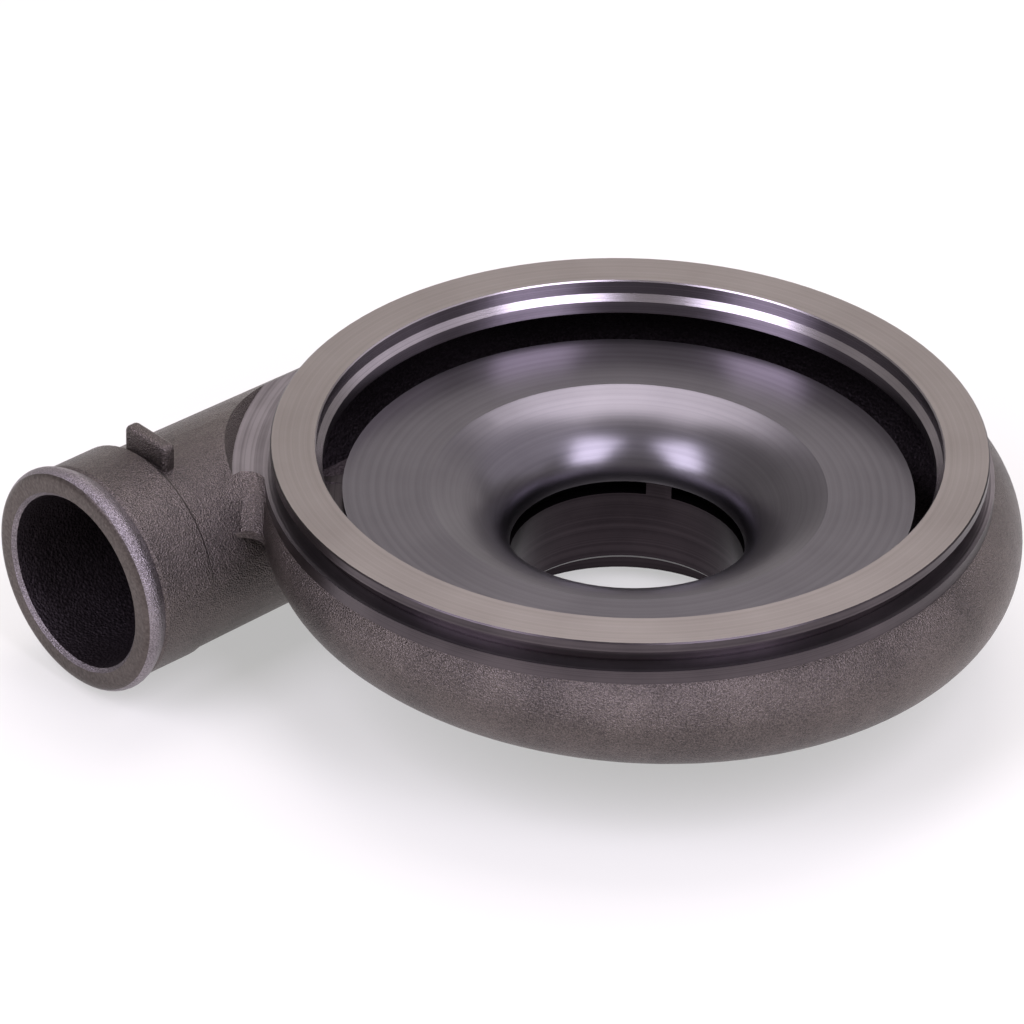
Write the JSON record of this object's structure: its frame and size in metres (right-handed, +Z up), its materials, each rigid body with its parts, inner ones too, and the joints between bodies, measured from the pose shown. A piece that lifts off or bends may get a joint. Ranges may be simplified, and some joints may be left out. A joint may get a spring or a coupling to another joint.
{
  "type": "turbo compressor housing",
  "caption": "Cast aluminium turbocharger compressor housing: open scroll with a turned clamp flange, disc and wheel contour, ported inlet below and a beaded discharge tube.",
  "frame": {"origin": "rotor axis in the plane of the turned joint face", "axes": "+Z up the rotor axis, out of the joint face towards the bearing housing; the discharge tube points towards -X and -Y, 223 degrees round from +X"},
  "size_m": [0.3083, 0.2374, 0.0778],
  "materials": {
    "cast_aluminium": "sand cast, joint side turned"
  },
  "bodies": {
    "root": {"compressor_housing": "cast_aluminium"}
  },
  "joints": []
}
